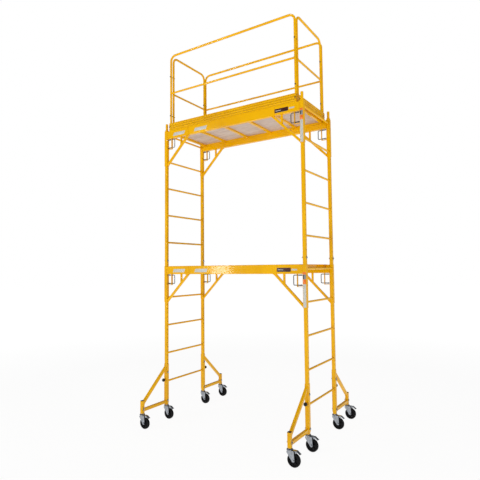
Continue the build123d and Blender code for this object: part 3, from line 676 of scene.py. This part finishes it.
def add_ribs(shape, centre):
    """Tapered ribs from hub to rim on both sides of a wheel's web."""
    for k in range(CORE_RIBS):
        angle = 2 * math.pi * (k + 0.25) / CORE_RIBS
        out = Vector((math.cos(angle), 0, math.sin(angle)))
        across = Y.cross(out)
        vertices = []
        for radius, height in ((RIB_INNER, RIB_HUB_HEIGHT), (RIB_OUTER, RIB_RIM_HEIGHT)):
            vertices += [centre + radius * out + a * RIB_HALF_THICK * across + b * height * Y
                         for a, b in RIB_OUTLINE]
        count = len(RIB_OUTLINE)
        faces = [tuple(range(count))[::-1], tuple(range(count, 2 * count))]
        faces += [(i, (i + 1) % count, (i + 1) % count + count, i + count) for i in range(count)]
        shape.add(vertices, faces)


def wheels():
    """A tyre, a ribbed core and a plated bush in place of each turned wheel."""
    for caster in CASTERS:
        body = caster + "_wheel"
        centre = PIVOTS[caster + "_roll"]
        tyre, core, bush = Shape(), Shape(), Shape()
        lathe(tyre, mirrored(TYRE), centre, Y, X, 96)
        lathe(core, mirrored(CORE_OUTLINE), centre, Y, X, 96)
        add_ribs(core, centre)
        lathe(bush, mirrored(BUSH_OUTLINE), centre, Y, X, 48)
        make_piece(caster + "_tyre", tyre, body, [RUBBER], 50.0)
        hub = make_piece(caster + "_core", core, body, [CORE], 35.0)
        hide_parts(body)
        make_piece(caster + "_bush", bush, body, [ZINC])


# ------------------------------------------------------------------ knobs
KNOB_LEVELS = [(0.0, 0.50), (0.0, 0.88), (0.0012, 0.95), (0.0045, 0.99), (0.012, 1.0), (0.0175, 0.985),
               (0.0202, 0.94), (0.0214, 0.86), (0.0216, 0.70), (0.0208, 0.62), (0.0208, 0.34), (0.0218, 0.22)]
SCREW_PITCH = 0.0015
SCREW_AXIS_R = 0.0004
SCREW_IN_SLEEVE = 0.001
SCREW_IN_GRIP = 0.002


def knob_outline(radius, count=96):
    """One turn round a lobed grip: points (cos, sin, radius)."""
    points = []
    for k in range(count):
        angle = 2 * math.pi * k / count
        lobe = 0.5 + 0.5 * math.cos(KNOB_LOBES * angle)
        points.append((math.cos(angle), math.sin(angle), radius * (1 - 0.14 * lobe ** 2.2)))
    return points


def knob_grip(centre, axis):
    """The lobed grip, its near side at centre. A level below 0.8 of the radius is a plain circle."""
    outline = knob_outline(KNOB_R)
    vertices = []
    for depth, share in KNOB_LEVELS:
        for c, s, r in outline:
            reach = (KNOB_R if share < 0.8 else r) * share
            vertices.append(centre + depth * axis + reach * (c * X + s * Z))
    count = len(outline)
    faces = [tuple(range(count))]
    for row in range(len(KNOB_LEVELS) - 1):
        a, b = row * count, (row + 1) * count
        faces += [(a + k, a + (k + 1) % count, b + (k + 1) % count, b + k) for k in range(count)]
    faces.append(tuple((len(KNOB_LEVELS) - 1) * count + k for k in range(count)))
    shape = Shape()
    shape.add(vertices, faces)
    return shape


def knob_screw(centre, axis):
    """The threaded screw behind the grip."""
    length = KNOB_NEAR - SLEEVE_OUT + SCREW_IN_SLEEVE
    root, crest = SCREW_R * 0.86, SCREW_R * 0.985
    profile = [(SCREW_AXIS_R, -length)]
    for k in range(round(length / SCREW_PITCH)):
        low = -length + k * SCREW_PITCH
        profile += [(root, low + 0.1 * SCREW_PITCH), (crest, low + 0.5 * SCREW_PITCH),
                    (root, low + 0.9 * SCREW_PITCH)]
    profile += [(root, SCREW_IN_GRIP), (SCREW_AXIS_R, SCREW_IN_GRIP)]
    shape = Shape()
    lathe(shape, profile, centre, axis, X, 32)
    return shape


def knobs():
    """A lobed grip with a domed face, and its threaded screw."""
    for face, sy in SIDES_Y.items():
        for side in SIDES_X:
            body = "_".join((face, side, "outrigger_knob"))
            pivot = PIVOTS[body + "_turn"]
            axis = sy * Y
            centre = Vector((pivot.x, sy * (HALF_Y + KNOB_NEAR), pivot.z))
            grip = knob_grip(centre, axis)
            piece = make_piece(body + "_grip", grip, body, [PLASTIC], 30.0)
            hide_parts(body)
            make_piece(body + "_screw", knob_screw(centre, axis), body, [ZINC], 60.0)


# ------------------------------------------------------------------ plywood rivets
RIVET_SHARES = (-0.86, -0.3, 0.3, 0.86)
RIVET_R = 0.0055
RIVET_RISE = 0.0012


def deck_rivets():
    """The low heads that hold each board to its cross members."""
    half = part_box("lower_deck_board")[1].y
    for tier in TIERS:
        shape = Shape()
        for x in CROSS_MEMBERS:
            for share in RIVET_SHARES:
                place = Vector((MIDDLE_X + x, share * half, DECK_TOP[tier]))
                dome(shape, place, Z, RIVET_R, RIVET_RISE)
        make_piece(tier + "_deck_rivets", shape, "tower", [ZINC])


# ------------------------------------------------------------------ toe board grooves: painted shade
def painted_toe_groove_shade():
    """Thin dark beads of painted shade in the inner corners of the toe boards' ribs."""
    low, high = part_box("toe_boards")
    wide, deep = (high.x - low.x) / 2, (high.y - low.y) / 2
    half_x, half_y = wide - GROOVE_INSET, deep - GROOVE_INSET
    shape = Shape()
    for k in range(3):
        for v in (TOE_BAND * (2 * k + 1) - GROOVE_OFF, TOE_BAND * (2 * k + 2) + GROOVE_OFF):
            z = low.z + v
            for sign in (-1, 1):
                y = sign * (deep - TOE_RIB)
                line = [Vector((MIDDLE_X - half_x + half_x * i / 20, y, z)) for i in range(41)]
                tube_along(shape, line, GROOVE_R, Z, sides=8)
                x = MIDDLE_X + sign * (wide - TOE_RIB)
                line = [Vector((x, -half_y + half_y * i / 10, z)) for i in range(21)]
                tube_along(shape, line, GROOVE_R, Z, sides=8)
    make_piece("toe_board_painted_groove_shade", shape, "tower", [PAINTED_GROOVE_SHADE])


# ------------------------------------------------------------------ plain printed strips
FILM = 0.0004
BAND_HALF = 0.0165
INK_X = (-0.0155, -0.006)
INK_Z = (1.512, 1.552)
# height of top and bottom edge over the tier's base, and the place of the film in the piece's materials
SLEEVE_BANDS = [(1.580, 1.558, 0), (1.556, 1.508, 1), (1.506, 1.462, 0), (1.460, 1.228, 2)]
# x from the middle, z over the rail's underside, layers of film below, place in the materials, lean
RAIL_FILMS = [(-0.800, -0.622, 0.022, 0.062, 0, 0, 0.45), (-0.470, -0.290, 0.022, 0.062, 0, 0, 0.45),
              (0.604, 0.775, 0.022, 0.064, 0, 1, 0.0), (0.626, 0.690, 0.040, 0.046, 1, 0, 0.0),
              (0.640, 0.764, 0.026, 0.034, 1, 2, 0.0), (0.784, 0.846, 0.036, 0.052, 0, 0, 0.0)]


def film(shape, x0, x1, z0, z1, y, facing, tint, skew=0.0, corner=0.002):
    """A thin strip on an upright face; skew leans its two ends."""
    centre = Vector(((x0 + x1) / 2, y, (z0 + z1) / 2))
    outline = rounded_box(centre, (x1 - x0) / 2 * X, (z1 - z0) / 2 * Z, corner, 4)
    leaned = [p + skew * (p.z - centre.z) * X for p in outline]
    count = len(leaned)
    vertices = leaned + [p + FILM * facing * Y for p in leaned]
    rim = [centre + 0.996 * (p - centre) + 1.15 * FILM * facing * Y for p in leaned]
    vertices += rim
    faces = [tuple(range(count))]
    for row in range(2):
        a, b = row * count, (row + 1) * count
        faces += [(a + k, a + (k + 1) % count, b + (k + 1) % count, b + k) for k in range(count)]
    faces.append(tuple(2 * count + k for k in range(count)))
    shape.add(vertices, faces, tint)


def sleeve_strips():
    """The banded strip on the front right sleeve of each tier: orange, grey, orange, pale."""
    y = -HALF_Y - SLEEVE_OUT
    x = POST_X["right"]
    for tier in TIERS:
        shape = Shape()
        for high, low, tint in SLEEVE_BANDS:
            film(shape, x - BAND_HALF, x + BAND_HALF, BASE[tier] + low, BASE[tier] + high, y, -1, tint)
        film(shape, x + INK_X[0], x + INK_X[1], BASE[tier] + INK_Z[0], BASE[tier] + INK_Z[1],
             y - FILM, -1, 3)
        make_piece(tier + "_sleeve_strip", shape, "tower", [ORANGE, GREY, PALE, INK])


def rail_strips():
    """Plain strips on the outer face of each front rail, where a maker would put a nameplate."""
    y = -HALF_Y - RAIL_WIDTH / 2
    for tier in TIERS:
        bottom = DECK_TOP[tier] - RAIL_LIP - RAIL_HEIGHT
        shape = Shape()
        for x0, x1, z0, z1, layers, tint, lean in RAIL_FILMS:
            film(shape, MIDDLE_X + x0, MIDDLE_X + x1, bottom + z0, bottom + z1, y - layers * FILM, -1,
                 tint, lean)
        make_piece(tier + "_rail_strips", shape, "tower", [PALE, MAROON, INK])


# ------------------------------------------------------------------ pedal treads
TREAD_OUT = (0.040, 0.046, 0.052)
TREAD_HALF = 0.0125
TREAD_R = 0.0011
STEP_START = 0.032
STEP_SLOPE = 0.742
TREAD_LIFT = 0.0002


def pedal_treads():
    """Three grip ribs across each brake pedal's sloping step."""
    for caster in CASTERS:
        body = caster + "_brake"
        centre = PIVOTS[caster + "_pedal"]
        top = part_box(body)[1].z
        shape = Shape()
        for out in TREAD_OUT:
            height = top - (out - STEP_START) * STEP_SLOPE + TREAD_LIFT
            a = Vector((centre.x + out, centre.y - TREAD_HALF, height))
            b = Vector((centre.x + out, centre.y + TREAD_HALF, height))
            line = [a.lerp(b, k / 8) for k in range(9)]
            tube_along(shape, line, TREAD_R, Z, sides=8)
        make_piece(body + "_treads", shape, body, [RUBBER])


paint_nodes()
rung_welds()
rail_welds()
outrigger_welds()
guard_welds()
lock_springs()
wheels()
knobs()
deck_rivets()
# painted shade in the toe boards' rib corners
painted_toe_groove_shade()
sleeve_strips()
rail_strips()
pedal_treads()


# ------------------------------------------------------------------ stage, light and camera
STAGE_R = 40.0
SHADOW_SHARE = 0.08
SHADOW_REACH = (4.0, 9.0)
FLOOR_GLOW = 1.02
LIGHT_FROM_BELOW, LIGHT_FROM_ABOVE = 0.95, 0.20
# name, place, target, width, height, watts, and whether the coat mirrors it
SOFTBOXES = [
    ("strip", (-4.13, -6.0, 3.1), (0.0, 0.0, 2.4), 0.42, 4.6, 122.0, True),
    ("front", (0.5, -7.0, 2.0), (0.0, 0.0, 2.3), 4.0, 3.6, 76.0, False),
    ("right", (7.0, -2.0, 2.8), (0.0, 0.0, 2.3), 4.0, 4.0, 125.0, False),
    ("top", (0.0, -0.5, 8.0), (0.0, 0.0, 0.0), 5.0, 5.0, 100.0, False),
]
CAMERA_PLACE = (2.7695, -4.466, 1.781)
CAMERA_ANGLES = (32.89, 3.70, -0.53)
SENSOR_WIDTH = 36.0
LENS = 33.375


def hide_from_light(thing):
    """The camera sees it, but it neither lights the object nor shades it."""
    thing.visible_diffuse = False
    thing.visible_glossy = False
    thing.visible_transmission = False
    thing.visible_shadow = False


def stage_piece(name, grid, material):
    mesh = bpy.data.meshes.new(name)
    grid.to_mesh(mesh)
    grid.free()
    mesh.materials.append(material)
    thing = bpy.data.objects.new(name, mesh)
    bpy.context.scene.collection.objects.link(thing)
    hide_from_light(thing)


def floor_material():
    """White, glowing softly, and matt near the middle so that the shadows lie on it."""
    material, tree, shader = new_material("studio_floor")
    where = tree.nodes.new("ShaderNodeTexCoord")
    length = tree.nodes.new("ShaderNodeVectorMath")
    length.operation = "LENGTH"
    tree.links.new(where.outputs["Object"], length.inputs[0])
    share = spread(tree, length.outputs["Value"], SHADOW_SHARE, 0.0, *SHADOW_REACH)
    cloud = noise(tree, where.outputs["Object"], 0.6, 2.0)
    tree.links.new(ramp(tree, cloud, [(0.3, (0.88, 0.88, 0.88)), (0.7, (0.92, 0.92, 0.92))]),
                   shader.inputs["Base Color"])
    shader.inputs["Roughness"].default_value = 0.9
    shader.inputs["Specular IOR Level"].default_value = 0.0
    glow = add_node(tree, "ShaderNodeEmission", Color=(1.0, 1.0, 1.0, 1.0), Strength=FLOOR_GLOW)
    mix = tree.nodes.new("ShaderNodeMixShader")
    tree.links.new(share, mix.inputs["Fac"])
    tree.links.new(glow.outputs["Emission"], mix.inputs[1])
    tree.links.new(shader.outputs["BSDF"], mix.inputs[2])
    tree.links.new(mix.outputs["Shader"], tree.nodes["Material Output"].inputs["Surface"])
    return material


def make_stage():
    """A plain pale floor under a plain white surround."""
    floor = bmesh.new()
    bmesh.ops.create_circle(floor, cap_ends=True, segments=96, radius=STAGE_R)
    stage_piece("studio_floor", floor, floor_material())
    dome_grid = bmesh.new()
    bmesh.ops.create_icosphere(dome_grid, subdivisions=4, radius=STAGE_R)
    material, tree, _ = new_material("studio_surround")
    glow = add_node(tree, "ShaderNodeEmission", Color=(1.0, 1.0, 1.0, 1.0), Strength=1.0)
    tree.links.new(glow.outputs["Emission"], tree.nodes["Material Output"].inputs["Surface"])
    stage_piece("studio_surround", dome_grid, material)


def make_softbox(name, place, target, width, height, watts, mirrored_in):
    """A rectangular area light aimed at a point; the coat mirrors it only if mirrored_in is set."""
    light = bpy.data.lights.new(name, "AREA")
    light.shape = "RECTANGLE"
    light.size = width
    light.size_y = height
    light.energy = watts
    lamp = bpy.data.objects.new(name, light)
    lamp.location = place
    lamp.visible_camera = False
    lamp.visible_glossy = mirrored_in
    lamp.rotation_euler = (Vector(target) - Vector(place)).to_track_quat("-Z", "Y").to_euler()
    bpy.context.scene.collection.objects.link(lamp)


def make_world():
    """Even light from all round, brighter from below, as over a white floor."""
    world = bpy.data.worlds.new("studio")
    world.use_nodes = True
    tree = world.node_tree
    where = tree.nodes.new("ShaderNodeTexCoord")
    split = tree.nodes.new("ShaderNodeSeparateXYZ")
    tree.links.new(where.outputs["Generated"], split.inputs["Vector"])
    light = spread(tree, split.outputs["Z"], LIGHT_FROM_BELOW, LIGHT_FROM_ABOVE, -0.25, 0.25)
    background = tree.nodes["Background"]
    background.inputs["Color"].default_value = (1.0, 1.0, 1.0, 1.0)
    tree.links.new(light, background.inputs["Strength"])
    bpy.context.scene.world = world


def make_camera():
    """A standing photographer's view of the front and the right end."""
    azimuth, pitch, roll = (math.radians(a) for a in CAMERA_ANGLES)
    turn = Matrix.Rotation(azimuth, 4, "Z") @ Matrix.Rotation(math.pi / 2 + pitch, 4, "X")
    turn = turn @ Matrix.Rotation(roll, 4, "Z")
    data = bpy.data.cameras.new("camera")
    data.sensor_width = SENSOR_WIDTH
    data.lens = LENS
    camera = bpy.data.objects.new("camera", data)
    camera.matrix_world = Matrix.Translation(CAMERA_PLACE) @ turn
    bpy.context.scene.collection.objects.link(camera)
    bpy.context.scene.camera = camera


make_stage()
make_world()
for softbox in SOFTBOXES:
    make_softbox(*softbox)
make_camera()
bpy.context.scene.view_settings.view_transform = "Standard"
